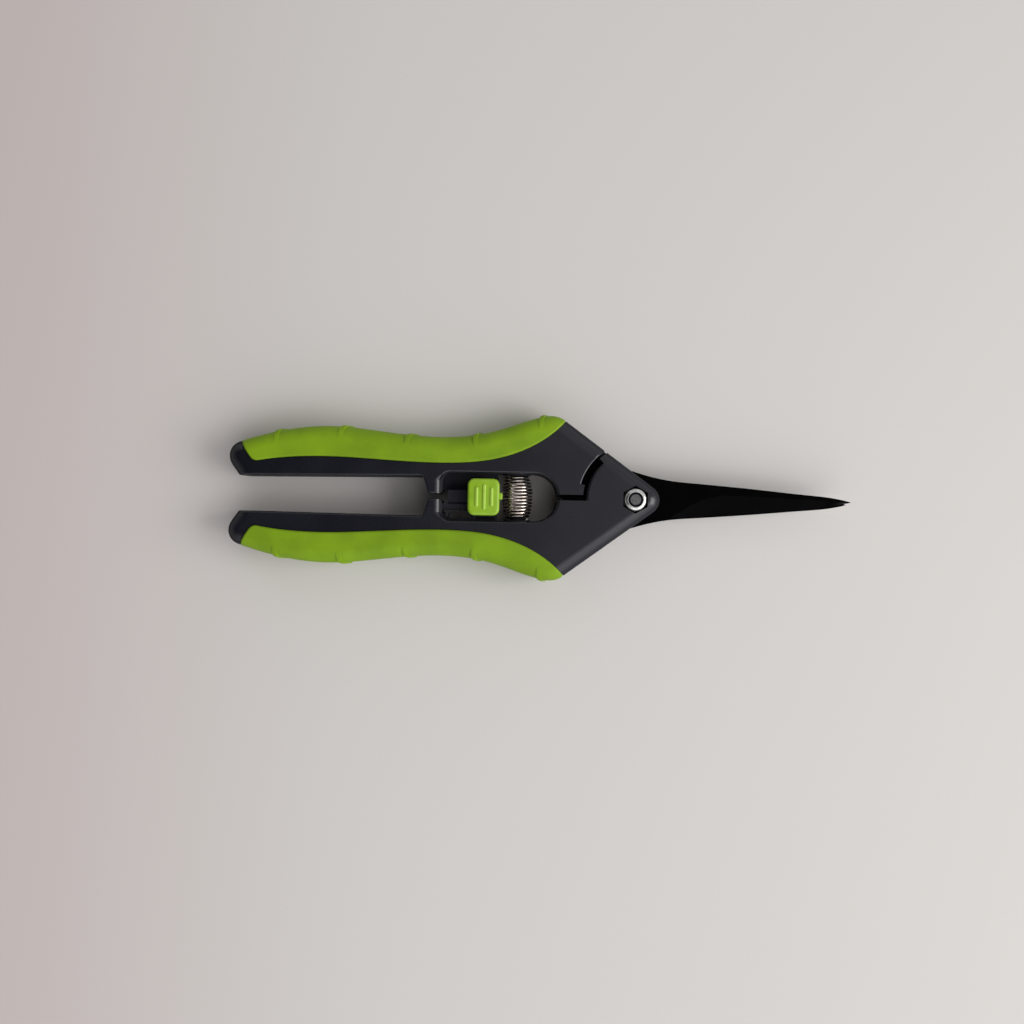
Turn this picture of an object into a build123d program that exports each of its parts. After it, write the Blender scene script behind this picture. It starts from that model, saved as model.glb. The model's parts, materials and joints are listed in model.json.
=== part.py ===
from build123d import *

import math
import os

# Floral snips: two moulded handles, each cast round the tang of one narrow blade and cushioned by a soft
# grip. The handles are halved over each other at the nose and turn on one bolt held by a nylon-ring nut.
# A small coil spring in the well between them pushes them open, and a sliding thumb lock beside the
# spring holds them shut.
#
# Sizes are in millimetres. Pieces are drawn about the pivot: +X runs to the blade tips, +Y to the upper
# handle and +Z out through the nut, with Z = 0 on the plane where the blades slide on each other. The
# upper handle is drawn, and the lower one is the same shape turned over about X. At the end everything
# is moved so that the origin is in the middle of the model's footprint, on the surface it lies on.

# ---------------------------------------------------------------- heights
handle_thickness = 15.0  # one handle, flat face to flat face
grip_proud = 0.5  # how far the grips stand out of those faces
blade_thickness = 2.0
blade_gap = 0.05  # between the two sliding blade faces
part_gap = 0.3  # between bodies that pass each other

half = handle_thickness / 2
grip_half = half + grip_proud
blade_inner = blade_gap / 2
blade_outer = blade_inner + blade_thickness

# ---------------------------------------------------------------- handle outline
tail_x = -122.85  # rounded end of the handle
tail_y = 10.3
tail_shoulder = (-120.1, 15.5)  # where the rounded end meets the outer side
gap_start = (-119.9, 5.35)  # where it meets the straight inner side
gap_end_y = 6.0  # inner side at the stop
silhouette_points = [
    tail_shoulder,
    (-110.0, 18.45),
    (-94.0, 20.7),
    (-76.0, 19.3),
    (-58.0, 18.0),
    (-44.0, 19.7),
    (-34.0, 22.9),
    (-27.5, 24.7),
]
flank_angle = 36.3  # slope of the nose's straight sides
flank_start_x = -21.0
nose_reach = 7.7  # pivot to the front of the nose
nose_radius = 4.6
outer_edge_radius = 4.0
inner_edge_radius = 0.6
stop_edge_radius = 0.6

# stop blocks between the handles, at the back of the spring well
stop_back_x = -63.9
stop_slant = 1.7
stop_face_y = 0.75  # half the gap left between the two stop faces when locked
stop_corner_radius = 1.35
stop_round_radius = 2.1  # broad rounding of the blocks' upper edge towards the well

# spring well
well_back_x = -58.3
well_half_width = 7.3
well_corner_radius = 2.5
well_front_centre_x = -30.5

# shut line and opening stop round the pivot
shut_plate_y = 0.6  # edge of the half that carries the nose plate
shut_recess_y = 1.15  # edge of the half that is cut back for the other plate
plate_radius = 14.7
shoulder_step = 1.7  # how far the shoulder stands out of the plate's rim
shoulder_clearance = 0.5  # between the shoulder and the other handle's recess
tooth_catch = 0.6  # how far the tooth reaches in over the shoulder's rim
shoulder_angle = 132.0
tooth_angle = 165.0

shoulder_radius = plate_radius + shoulder_step
recess_radius = shoulder_radius + shoulder_clearance
tooth_radius = shoulder_radius - tooth_catch

# ---------------------------------------------------------------- grips
boundary_points = [
    (-106.0, 10.85),
    (-93.0, 11.4),
    (-75.0, 10.6),
    (-57.0, 10.05),
    (-44.0, 11.15),
    (-33.0, 14.6),
]
grip_tail_top_x = -119.3
grip_tail_corner = (-115.0, 9.5)
grip_tail_corner_radius = 2.4
grip_edge_radius = 4.0
grip_lip_radius = 0.6
groove_width = 0.25  # fine gap left round the grips on the handles' flat faces
groove_depth = 0.5
grip_wall = 2.4
rib_depth = 1.7  # how deep the grip lies on the handle's flat faces
anchor_count = 4
anchor_radius = 1.2
anchor_inset = 4.2  # from the handle's outer side to the holes' middles
anchor_first_x = -104.0
anchor_pitch = 17.0

ridge_count = 5
ridge_first_x = -105.9
ridge_pitch = 19.9
ridge_height = 0.6
ridge_run = 1.4  # long, gentle side of a ridge, towards the tail
ridge_drop = 0.3  # short, steep side
ridge_end_height = 0.3  # where a ridge dies out on the flat face
ridge_end_run = 0.8
ridge_lean = 2.8  # how far a ridge leans to the tail from the middle of the side to the face

# ---------------------------------------------------------------- blades
lower_blade_reach = 66.5  # pivot to the tip of the blade on the nut side
upper_blade_reach = 65.7
tip_offset = 0.42
tip_run = 4.6  # last stretch of a blade, where it narrows to its rounded point
tip_half_width = 1.45  # half the closed blades' width where that stretch starts
spine_points = [
    (51.6, 2.5),
    (39.0, 3.7),
    (26.5, 4.75),
    (18.5, 5.35),
    (12.0, 5.9),
    (6.8, 6.8),
    (2.2, 7.95),
    (-2.6, 9.5),
]
edge_inset = 0.45  # a closed blade's edge lies this far inside the other blade's spine
edge_thickness = 0.25
root_flat = 2.6  # flat strip left along the spine where the grinding reaches its full width
tip_flat = 0.6  # and at the tip
grind_start_x = 11.8
grind_full_x = 31.0
grind_start_share = 0.06  # how much of its full width the grinding has where it starts
grind_steps = 6  # cross-sections before and after its full width
tang_wall = 1.8  # plastic left round the tang at the nose
tang_end_x = -52.0
tang_end_y = 11.1
tang_end_radius = 2.3
tang_hole_radius = 1.7
tang_hole_places = [(-28.5, 14.6), (tang_end_x + 10.0, tang_end_y + 0.6)]
well_wall = 1.5  # plastic between the tang and the well

# ---------------------------------------------------------------- pivot
bolt_radius = 2.0
running_clearance = 0.05
head_radius = 4.0
head_height = 2.5
head_recess = 0.15  # head below the handle's face
head_clearance = 0.3
head_lift = 0.1
socket_flats = 2.5
socket_depth = 1.4
nut_flats = 7.0
nut_clearance = 0.175
nut_hex_height = 3.1
nut_collar_radius = 3.35
nut_collar_height = 1.9
nut_stand_out = 0.5
bolt_end_chamfer = 0.3
nylon_radius = 2.4
nylon_height = 1.25
nylon_drop = 0.35  # ring below the collar's top

# ---------------------------------------------------------------- return spring
spring_x = -35.5
spring_seat_y = 6.85
spring_wire = 0.65
spring_radius = 4.0  # to the middle of the wire
spring_turns = 13
seat_radius = 4.1
peg_radius = 2.1
peg_length = 2.8

# ---------------------------------------------------------------- lock
lock_travel = 7.0
track_front_x = -41.4
track_edge_y = 2.0
track_top = 3.4
track_thickness = 2.4
track_back_x = -56.6
rail_low_y = -3.6
rail_high_y = -2.2
rail_height = 0.9
band_height = 0.5
slot_low_y = -6.5
slot_high_y = -4.2
tooth_places = (-56.15, -57.5)  # two small teeth in the slot's end, behind the lock's travel
tooth_width = 0.7
tooth_length = 1.7
notch_radius = 0.55
ledge_top = 0.6
ledge_thickness = 2.6
keeper_width = 1.2
keeper_groove_depth = 1.5
keeper_groove_width = 2.8
button_length = 9.55
button_width = 11.1
button_height = 2.65
button_corner_radius = 2.0
button_edge_radius = 0.7
button_front_x = -40.85
button_rib_width = 0.8
button_rib_height = 0.35
button_rib_places = [(-2.05, 6.0), (0.2, 7.7), (2.45, 5.7)]
nub_length = 0.9
nub_width = 2.0
nub_height = 1.2
bridge_thickness = 0.75
leg_length = 6.0
hook_thickness = 1.4
foot_thickness = 1.5
foot_overhang = 1.1
post_radius = 1.0
post_height = 1.4

# ================================================================ helpers


def slab(face, low, high):
    """The plan face as a solid from one height to another."""
    return extrude(Pos(0, 0, low) * face, amount=high - low, dir=(0, 0, 1))


def block(x, y, z):
    """A box from its low and high ends along each axis."""
    size = [high - low for low, high in (x, y, z)]
    middle = [(low + high) / 2 for low, high in (x, y, z)]
    return Pos(*middle) * Box(*size)


def rod(radius, low, high, x=0.0, y=0.0):
    """An upright cylinder from one height to another."""
    return Pos(x, y, (low + high) / 2) * Cylinder(radius, high - low)


def cross_rod(radius, low, high, x, z=0.0):
    """A cylinder along Y from one side to the other."""
    return Pos(x, (low + high) / 2, z) * Rot(90, 0, 0) * Cylinder(radius, high - low)


def polar(radius, angle):
    """A plan point at a radius and an angle in degrees from the pivot."""
    return (radius * math.cos(math.radians(angle)), radius * math.sin(math.radians(angle)))


def curve_at_x(curve, x):
    """The share of the curve's length at which it reaches x."""
    low, high = 0.0, 1.0
    for _ in range(40):
        middle = (low + high) / 2
        if (curve @ middle).X < x:
            low = middle
        else:
            high = middle
    return (low + high) / 2


def turned_over(solid):
    """The upper handle's shape as the lower handle has it."""
    return Rot(180, 0, 0) * solid


# ================================================================ handle outline

nose_centre_x = nose_reach - nose_radius
flank_slope = math.tan(math.radians(flank_angle))
flank_normal = (math.sin(math.radians(flank_angle)), math.cos(math.radians(flank_angle)))
flank_end = (nose_centre_x + nose_radius * flank_normal[0], nose_radius * flank_normal[1])


def flank_y(x, inset=0.0):
    """Height of the nose's straight side at x, or of a line inside it."""
    return flank_end[1] + (flank_end[0] - x) * flank_slope - inset / flank_normal[1]


def flank_meets(radius):
    """Where the nose's straight side crosses a circle round the pivot."""
    distance = nose_centre_x * flank_normal[0] + nose_radius
    along = math.sqrt(radius**2 - distance**2)
    return (distance * flank_normal[0] - along * flank_normal[1],
            distance * flank_normal[1] + along * flank_normal[0])


flank_start = (flank_start_x, flank_y(flank_start_x))
silhouette = Spline(
    *silhouette_points,
    flank_start,
    tangents=[(1.0, 0.34), (flank_normal[1], -flank_normal[0])],
)


def inner_side(shut_y):
    """Tail, straight inner side, stop block and spring well, as far as the shut line."""
    well_front = well_front_centre_x + math.sqrt(well_half_width**2 - shut_y**2)
    tail = Spline(
        tail_shoulder,
        (tail_x, tail_y),
        gap_start,
        tangents=[(-1.0, -0.42), (0.62, -1.0)],
    )
    stop = FilletPolyline(
        gap_start,
        (stop_back_x, gap_end_y),
        (stop_back_x + stop_slant, stop_face_y),
        (well_back_x, stop_face_y),
        (well_back_x, well_half_width - well_corner_radius),
        radius=stop_corner_radius,
    )
    corner = RadiusArc(
        (well_back_x, well_half_width - well_corner_radius),
        (well_back_x + well_corner_radius, well_half_width),
        well_corner_radius,
    )
    wall = Line(
        (well_back_x + well_corner_radius, well_half_width),
        (well_front_centre_x, well_half_width),
    )
    front = ThreePointArc(
        (well_front_centre_x, well_half_width),
        (
            well_front_centre_x + well_half_width * math.sin(math.pi / 4),
            well_half_width * math.cos(math.pi / 4),
        ),
        (well_front, shut_y),
    )
    return [tail, stop, corner, wall, front], (well_front, shut_y)


def arc_about_pivot(radius, start, end):
    """A plan arc round the pivot between two angles in degrees."""
    return ThreePointArc(
        polar(radius, start), polar(radius, (start + end) / 2), polar(radius, end)
    )


def recessed_outline():
    """Plan of the half of a handle that is cut back for the other handle's nose plate."""
    inner, shut_start = inner_side(shut_recess_y)
    tooth_start = 180 - math.degrees(math.asin(shut_recess_y / tooth_radius))
    meeting = flank_meets(recess_radius)
    meeting_angle = math.degrees(math.atan2(meeting[1], meeting[0]))
    return make_face(
        inner
        + [
            Line(shut_start, polar(tooth_radius, tooth_start)),
            arc_about_pivot(tooth_radius, tooth_start, tooth_angle),
            Line(polar(tooth_radius, tooth_angle), polar(recess_radius, tooth_angle)),
            arc_about_pivot(recess_radius, tooth_angle, meeting_angle),
            Line(meeting, flank_start),
            silhouette,
        ]
    )


def plated_outline():
    """Plan of the half of a handle that carries the nose plate."""
    inner, shut_start = inner_side(shut_plate_y)
    plate_start = 180 - math.degrees(math.asin(shut_plate_y / plate_radius))
    shoulder = 360 - shoulder_angle
    meeting = flank_meets(shoulder_radius)
    meeting = (meeting[0], -meeting[1])
    meeting_angle = 360 + math.degrees(math.atan2(meeting[1], meeting[0]))
    far_flank_end = (flank_end[0], -flank_end[1])
    return make_face(
        inner
        + [
            Line(shut_start, polar(plate_radius, plate_start)),
            arc_about_pivot(plate_radius, plate_start, shoulder),
            Line(polar(plate_radius, shoulder), polar(shoulder_radius, shoulder)),
            arc_about_pivot(shoulder_radius, shoulder, meeting_angle),
            Line(meeting, far_flank_end),
            ThreePointArc(far_flank_end, (nose_reach, 0), flank_end),
            Line(flank_end, flank_start),
            silhouette,
        ]
    )


def rounded_slab(face, low, high):
    """A slab of the plan with its far face rounded: broadly along the outside, finely along the inside."""
    solid = slab(face, low, high)
    far = low if abs(low) > abs(high) else high
    outside = [e for e in rim_edges(solid, far) if is_outside(e)]
    solid = fillet(outside, outer_edge_radius)
    inside = [e for e in rim_edges(solid, far) if is_inside(e)]
    solid = fillet(inside, inner_edge_radius)
    round_the_pivot = [e for e in rim_edges(solid, far) if is_stop_arc(e)]
    return fillet(round_the_pivot, stop_edge_radius)


def stop_rounding():
    """What the broad rounding takes off a stop block's two edges at the well; it fades into the well's corner."""
    cutters = []
    for side in (-1, 1):
        sections = [stop_rounding_section(0.0, well_back_x, stop_round_radius, side)]
        for angle in (0.0, 20.0, 40.0, 60.0):
            x = well_back_x + well_corner_radius * (1 - math.cos(math.radians(angle)))
            y = well_half_width - well_corner_radius * (1 - math.sin(math.radians(angle)))
            sections.append(stop_rounding_section(y, x, stop_round_radius * (1 - angle / 75.0), side))
        cutters.append(loft(sections, ruled=True))
    return cutters


def stop_rounding_section(y, wall_x, radius, side):
    """Cross-section at y of what a rounding takes off the edge between a flat face and a wall at wall_x."""
    turn = radius * math.sqrt(0.5)
    start, end = (wall_x - radius, side * half), (wall_x, side * (half - radius))
    middle = (wall_x - radius + turn, side * (half - radius + turn))
    far_x, far_z = wall_x + radius, side * (half + radius)
    plane = Plane(origin=(0, y, 0), x_dir=(1, 0, 0), z_dir=(0, -1, 0))
    return plane * make_face([
        ThreePointArc(start, middle, end),
        Polyline(end, (far_x, end[1]), (far_x, far_z), (start[0], far_z), start),
    ])


def rim_edges(solid, height):
    """The edges that lie in the plane at a height."""
    return [e for e in solid.edges() if abs((e @ 0).Z - height) + abs((e @ 1).Z - height) < 1e-4]


def is_outside(edge):
    """Whether a rim edge lies along the tail, the outer side or the nose."""
    middle = edge @ 0.5
    if middle.X < gap_start[0] or middle.X > nose_centre_x:
        return True
    if middle.X < flank_start_x:
        return middle.Y > well_half_width + grip_wall
    centre_distance = (middle.X - nose_centre_x) * flank_normal[0] + abs(middle.Y) * flank_normal[1]
    return abs(centre_distance - nose_radius) < 1e-3


def is_inside(edge):
    """Whether a rim edge lies along the straight inner side, the stop block or the well."""
    middle = edge @ 0.5
    well_front = well_front_centre_x + well_half_width
    return gap_start[0] < middle.X < well_front and shut_recess_y * 0.6 < middle.Y < well_half_width * 1.01


def is_stop_arc(edge):
    """Whether a rim edge is one of the long arcs round the pivot that stop the opening."""
    middle = edge @ 0.5
    radius = math.hypot(middle.X, middle.Y)
    return any(abs(radius - r) < 1e-3 for r in (plate_radius, recess_radius)) and middle.X < 0


# ================================================================ grips


def boundary():
    """The line on the handle's flat faces where the grip ends."""
    return Spline(grip_tail_corner, *boundary_points, flank_start)


def grip_outline(outward=0.0):
    """Plan of one grip, or, with some outward reach, of the zone that the handle leaves to it."""
    line = boundary()
    if outward:
        high = max(y for _, y in silhouette_points) + 2 * outward
        front = flank_start[0] + outward
        back = tail_line_at(high)
        outer = Polyline(flank_start, (front, flank_start[1] + outward), (front, high), back)
        return make_face([line, outer, Line(back, grip_tail_corner)])
    share = curve_at_x(silhouette, grip_tail_top_x)
    top = silhouette @ share
    outer = silhouette.trim(share, 1.0)
    return make_face([line, outer, Line((top.X, top.Y), grip_tail_corner)])


def tail_line_at(y):
    """The point at height y on the straight line that ends the grip at the tail."""
    top_y = (silhouette @ curve_at_x(silhouette, grip_tail_top_x)).Y
    run = (grip_tail_top_x - grip_tail_corner[0]) / (top_y - grip_tail_corner[1])
    return (grip_tail_corner[0] + run * (y - grip_tail_corner[1]), y)


def soften_tail_corner(solid):
    """Rounds the upright edge at the grip's lower tail corner."""
    corner = [
        e
        for e in solid.edges().filter_by(Axis.Z)
        if math.dist(((e @ 0.5).X, (e @ 0.5).Y), grip_tail_corner) < 0.1
    ]
    return fillet(corner, grip_tail_corner_radius)


def grip_block():
    """One grip's outer form, solid through."""
    solid = soften_tail_corner(slab(grip_outline(), -grip_half, grip_half))
    outer = [
        e
        for height in (-grip_half, grip_half)
        for e in rim_edges(solid, height)
        if lies_on_silhouette(e)
    ]
    solid = fillet(outer, grip_edge_radius)
    lip = [
        e
        for height in (-grip_half, grip_half)
        for e in rim_edges(solid, height)
        if lies_on_boundary(e)
    ]
    return fillet(lip, grip_lip_radius)


def lies_on_silhouette(edge):
    """Whether a rim edge lies along the handle's outer side."""
    middle = edge @ 0.5
    return abs((silhouette @ curve_at_x(silhouette, middle.X)).Y - middle.Y) < 0.02


def lies_on_boundary(edge):
    """Whether a rim edge lies along the grip's edge on the flat face."""
    middle = edge @ 0.5
    if middle.X < grip_tail_corner[0]:
        return False
    line = boundary()
    return abs((line @ curve_at_x(line, middle.X)).Y - middle.Y) < 0.02


def grip_ridges(form):
    """Low slanted ridges across the outer side of a grip, steep toward the pivot."""
    bars = []
    for i in range(ridge_count):
        share = curve_at_x(silhouette, ridge_first_x + i * ridge_pitch)
        at, along = silhouette @ share, silhouette % share
        out = Vector(-along.Y, along.X)
        reach = Pos(*(out * ridge_height)) * form
        middle = ridge_section(at, along, out, ridge_run, ridge_height)
        end = ridge_section(at - along * ridge_lean, along, out, ridge_end_run, ridge_end_height)
        for way in (-1, 1):
            bars.append(loft([middle, Pos(0, 0, way * (grip_half + 1)) * end], ruled=True) & reach)
    return bars


def ridge_section(crest, along, out, run, height):
    """Plan of one ridge where its crest crosses one height, and down into the grip."""
    foot = crest + along * ridge_drop
    start = crest - along * run
    inward = out * grip_edge_radius
    return make_face(Polyline(start - inward, start, crest + out * height, foot, foot - inward, close=True))


def grip_core():
    """The rib of the handle that lies inside the grip, with holes that key the grip to it."""
    share = curve_at_x(silhouette, grip_tail_top_x + grip_wall)
    top = silhouette @ share
    outer = Pos(0, -grip_wall, 0) * silhouette.trim(share, curve_at_x(silhouette, flank_start_x - grip_wall))
    ends = (outer @ 0, outer @ 1)
    low_left = (grip_tail_corner[0] + grip_wall, gap_end_y + grip_wall)
    rib = make_face([
        outer,
        Polyline(ends[1], (ends[1].X, flank_start[1] / 2), low_left, ends[0]),
    ])
    rib = slab(rib, rib_depth - half, half - rib_depth)
    holes = [
        rod(anchor_radius, -half, half, x, (silhouette @ curve_at_x(silhouette, x)).Y - anchor_inset)
        for x in (anchor_first_x + i * anchor_pitch for i in range(anchor_count))
    ]
    return rib - holes


# ================================================================ blades


def spine(reach):
    """The back of the upper handle's blade, from the tip to where it goes in under the nose plate."""
    tip = (reach, -tip_offset)
    return Spline(tip, (reach - tip_run, -tip_half_width), *[(x, -y) for x, y in spine_points])


def cutting_edge(reach):
    """The blade's edge, from where it leaves the nose plate to the tip."""
    inset = [(x, y - edge_inset) for x, y in reversed(spine_points[:5])]
    return Spline(*inset, (reach - tip_run, tip_half_width - edge_inset), (reach, -tip_offset))


def blade_outline(reach):
    """Plan of one blade and the tang that runs back into its handle."""
    tang_radius = plate_radius - part_gap * 4
    slit_y = part_gap / 3
    slit_end = well_front_centre_x + well_half_width + well_wall
    well_reach = well_half_width + well_wall
    root = (spine_points[-1][0], -spine_points[-1][1])
    arc_start_angle = 360 - 125.0
    inner_x = flank_start_x + 1
    heel = (0.0, flank_y(0.0, tang_wall))
    edge_line = cutting_edge(reach)
    back = spine(reach)
    tang_back = Polyline(root, polar(tang_radius, arc_start_angle))
    nose_arc = arc_about_pivot(tang_radius, arc_start_angle, 180 - 0.5)
    arc_end = nose_arc @ 1
    tang = FilletPolyline(
        (arc_end.X, arc_end.Y),
        (slit_end, slit_y),
        (slit_end - well_wall, well_reach / 2),
        (well_front_centre_x, well_reach),
        (tang_end_x, tang_end_y - tang_end_radius),
        (tang_end_x - tang_end_radius, tang_end_y),
        (tang_end_x, tang_end_y + tang_end_radius),
        (inner_x - 10, flank_y(inner_x, tang_wall) - tang_wall),
        (inner_x, flank_y(inner_x, tang_wall)),
        heel,
        ((edge_line @ 0).X, (edge_line @ 0).Y),
        radius=tang_end_radius / 3,
    )
    return make_face([back, tang_back, nose_arc, tang, edge_line])


def grinding(reach):
    """The metal ground off a blade's outer face: a wedge that widens from the root, then follows the edge."""
    edge_line, back = cutting_edge(reach), spine(reach)
    full_depth = blade_thickness - edge_thickness

    def full_width(x):
        flat = root_flat + (tip_flat - root_flat) * max(0.0, (x - grind_full_x) / (reach - grind_full_x))
        return (edge_line @ curve_at_x(edge_line, x)).Y - back_at(back, x) - flat

    slope = full_depth / full_width(grind_full_x)
    outlines = []
    for step in range(2 * grind_steps + 1):
        if step <= grind_steps:
            share = step / grind_steps
            x = grind_start_x + share * (grind_full_x - grind_start_x)
            width = full_width(x) * max(grind_start_share, math.sin(share * math.pi / 2))
            deep = min(full_depth, width * slope)
        else:
            x = grind_full_x + (step / grind_steps - 1) * (reach - tip_run / 4 - grind_full_x)
            width = max(full_width(x), edge_thickness)
            deep = full_depth
        edge_y = (edge_line @ curve_at_x(edge_line, x)).Y
        outlines.append(grinding_section(x, edge_y, edge_y - width, deep))
    outlines.append(grinding_section(reach + 1.0, edge_y, edge_y - width, deep))
    return loft(outlines, ruled=True)


def grinding_section(x, edge_y, top_y, deep):
    """Cross-section of the ground-off wedge at one place along the blade."""
    return Plane(origin=(x, 0, 0), x_dir=(0, 1, 0), z_dir=(1, 0, 0)) * make_face(Polyline(
        (top_y, -blade_outer),
        (edge_y, -blade_outer + deep),
        (edge_y + 1.0, -blade_outer + deep + 0.05),
        (edge_y + 1.0, -blade_outer - 1.0),
        (top_y, -blade_outer - 1.0),
        close=True,
    ))


def back_at(back, x):
    """Height of the spine at x; the spine runs from the tip to the root."""
    low, high = 0.0, 1.0
    for _ in range(40):
        middle = (low + high) / 2
        if (back @ middle).X > x:
            low = middle
        else:
            high = middle
    return (back @ low).Y


def blade(reach, hole_radius):
    """One blade with its tang, bolt hole and keying holes, as it lies in the upper handle."""
    solid = slab(blade_outline(reach), -blade_outer, -blade_inner)
    solid -= grinding(reach)
    solid -= rod(hole_radius, -half, half)
    solid -= [rod(tang_hole_radius, -half, half, x, y) for x, y in tang_hole_places]
    return solid


# ================================================================ handles

nut_seat = half + nut_stand_out - nut_hex_height - nut_collar_height
nut_top = half + nut_stand_out
head_low = head_recess - half


def hexagon(flats, low, high):
    """An upright hexagonal prism with two corners on the Y axis."""
    return slab(Rot(0, 0, 30) * RegularPolygon(flats / 2, 6, major_radius=False), low, high)


def spring_seat():
    """The flat boss and peg that hold one end of the return spring."""
    boss = cross_rod(seat_radius, spring_seat_y, well_half_width + well_wall / 2, spring_x)
    peg = cross_rod(peg_radius, spring_seat_y - peg_length, spring_seat_y + well_wall / 2, spring_x)
    tip = [e for e in peg.edges().filter_by(GeomType.CIRCLE) if (e @ 0).Y < spring_seat_y]
    return boss + chamfer(tip, peg_radius / 5)


def moulded_handle(tang, lock_side):
    """One handle as moulded round its tang, in the upper handle's place."""
    body = rounded_slab(recessed_outline(), 0, half)
    body += rounded_slab(plated_outline(), -half, -blade_inner)
    body += slab(recessed_outline() & plated_outline(), -blade_inner, 0)
    body -= stop_rounding()
    zone = grip_outline(outward=grip_edge_radius)
    body -= soften_tail_corner(slab(zone, -half - 1, half + 1))
    for low, high in ((-half - 1, groove_depth - half), (half - groove_depth, half + 1)):
        body -= Pos(-groove_width, -groove_width, 0) * soften_tail_corner(slab(zone, low, high))
    body += grip_core()
    body += spring_seat()
    body += lock_side
    return body - tang


def upper_handle_core(tang):
    """The handle behind, with the bolt head's recess and the ledge that the lock hooks."""
    core = moulded_handle(tang, lock_ledge())
    core -= rod(bolt_radius + running_clearance, -half - 1, half)
    return core - rod(head_radius + head_clearance, -half - 1, head_low + head_height + head_lift)


def lower_handle_core(tang):
    """The handle in front, with the nut's pocket and the track that the lock slides on."""
    core = moulded_handle(tang, turned_over(lock_track()))
    core -= rod(bolt_radius, -half - 1, half + 1)
    pocket = hexagon(nut_flats + 2 * nut_clearance, -half - 1, -nut_seat)
    return core - pocket


# ================================================================ lock

track_low = track_top - track_thickness
track_wall_y = well_half_width + 0.5
bridge_low = track_top + rail_height + part_gap
bridge_high = bridge_low + bridge_thickness
button_back_x = button_front_x - button_length
leg_front_x = track_front_x - part_gap * 3
leg_back_x = leg_front_x - leg_length
hook_low_y = track_edge_y + keeper_width + part_gap
hook_bottom = ledge_top + part_gap


def lock_ledge():
    """The upper handle's ledge under the track, with a keeper and the groove behind it for the hook."""
    ledge = block(
        (well_back_x - well_wall, track_front_x),
        (track_edge_y, track_wall_y),
        (ledge_top - ledge_thickness, ledge_top),
    )
    groove = block(
        (button_back_x + 1, track_front_x - part_gap * 2),
        (track_edge_y + keeper_width, track_edge_y + keeper_width + keeper_groove_width),
        (ledge_top - keeper_groove_depth, ledge_top + 1),
    )
    return ledge - groove


def lock_track():
    """The lower handle's track for the lock, in place: a raised rail, a middle band and a notched slot."""
    plate = block((track_back_x, track_front_x), (-track_wall_y, track_edge_y), (track_low, track_top))
    plate += block((well_back_x - well_wall, track_front_x), (-track_wall_y, rail_high_y), (track_low, track_top))
    plate += block(
        (well_back_x - well_wall, track_front_x), (rail_low_y, rail_high_y), (track_top, track_top + rail_height)
    )
    band = block(
        (track_back_x, track_front_x),
        (rail_high_y + part_gap * 1.5, track_edge_y),
        (track_top, track_top + band_height),
    )
    slot = block(
        (well_back_x, leg_front_x + part_gap),
        (slot_low_y, slot_high_y),
        (track_low - 1, track_top + 1),
    )
    teeth = [
        block(
            (x - tooth_width / 2, x + tooth_width / 2),
            (slot_low_y - tooth_width, slot_low_y + tooth_length),
            (track_low, track_top - tooth_width),
        )
        for x in tooth_places
    ]
    notches = [
        rod(notch_radius, track_low - 1, track_top + 1, x, slot_high_y)
        for x in (leg_middle_x, leg_middle_x - lock_travel)
    ]
    return (plate + band - slot - notches) + teeth


leg_middle_x = (leg_front_x + leg_back_x) / 2


def lock_slide():
    """The dark carriage under the button: bridge, clip leg through the slot, nib and hook."""
    bridge = block(
        (button_back_x + 0.8, button_front_x - 0.8),
        (slot_low_y + part_gap, hook_low_y + hook_thickness),
        (bridge_low, bridge_high),
    )
    leg = block(
        (leg_back_x, leg_front_x),
        (slot_low_y + part_gap, slot_high_y - part_gap),
        (track_low - part_gap - foot_thickness, bridge_low),
    )
    foot = block(
        (leg_back_x, leg_front_x),
        (slot_low_y + part_gap - foot_overhang / 3, slot_high_y + foot_overhang),
        (track_low - part_gap - foot_thickness, track_low - part_gap),
    )
    nib_radius = notch_radius - part_gap / 2
    nib = rod(nib_radius, track_low, track_top, leg_middle_x, slot_high_y - nib_radius - running_clearance)
    hook = block(
        (leg_back_x, leg_front_x),
        (hook_low_y, hook_low_y + hook_thickness),
        (hook_bottom, bridge_low),
    )
    posts = [
        rod(post_radius, bridge_high, bridge_high + post_height, leg_middle_x, y)
        for y in (-button_width / 4, button_width / 4)
    ]
    return bridge + leg + foot + nib + hook + posts


def lock_button():
    """The bright thumb button: a rounded cap with three ribs across it and a small tab in front."""
    top = bridge_high + button_height
    plan = RectangleRounded(button_length, button_width, button_corner_radius)
    cap = slab(Pos((button_back_x + button_front_x) / 2, 0) * plan, bridge_high, top)
    cap = fillet(rim_edges(cap, top), button_edge_radius)
    for x, length in button_rib_places:
        rib = SlotOverall(length, button_rib_width, rotation=90)
        centre_x = (button_back_x + button_front_x) / 2 + x
        cap += slab(Pos(centre_x, 0) * rib, top - button_rib_height, top + button_rib_height)
    nub_middle = nub_width * 0.15
    cap += block(
        (button_front_x - 1, button_front_x + nub_length),
        (nub_middle - nub_width / 2, nub_middle + nub_width / 2),
        (bridge_high, bridge_high + nub_height),
    )
    sockets = [
        rod(post_radius, bridge_high - 1, bridge_high + post_height, leg_middle_x, y)
        for y in (-button_width / 4, button_width / 4)
    ]
    return cap - sockets


# ================================================================ pivot and spring


def pivot_bolt():
    """The round-headed bolt, with a hexagon socket in its head."""
    head = rod(head_radius, head_low, head_low + head_height)
    head = fillet(rim_edges(head, head_low), head_height * 0.45)
    end = nut_top
    shank = rod(bolt_radius, head_low + head_height, end)
    shank = chamfer(rim_edges(shank, end), bolt_end_chamfer)
    return head + shank - hexagon(socket_flats, head_low - 1, head_low + socket_depth)


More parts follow.
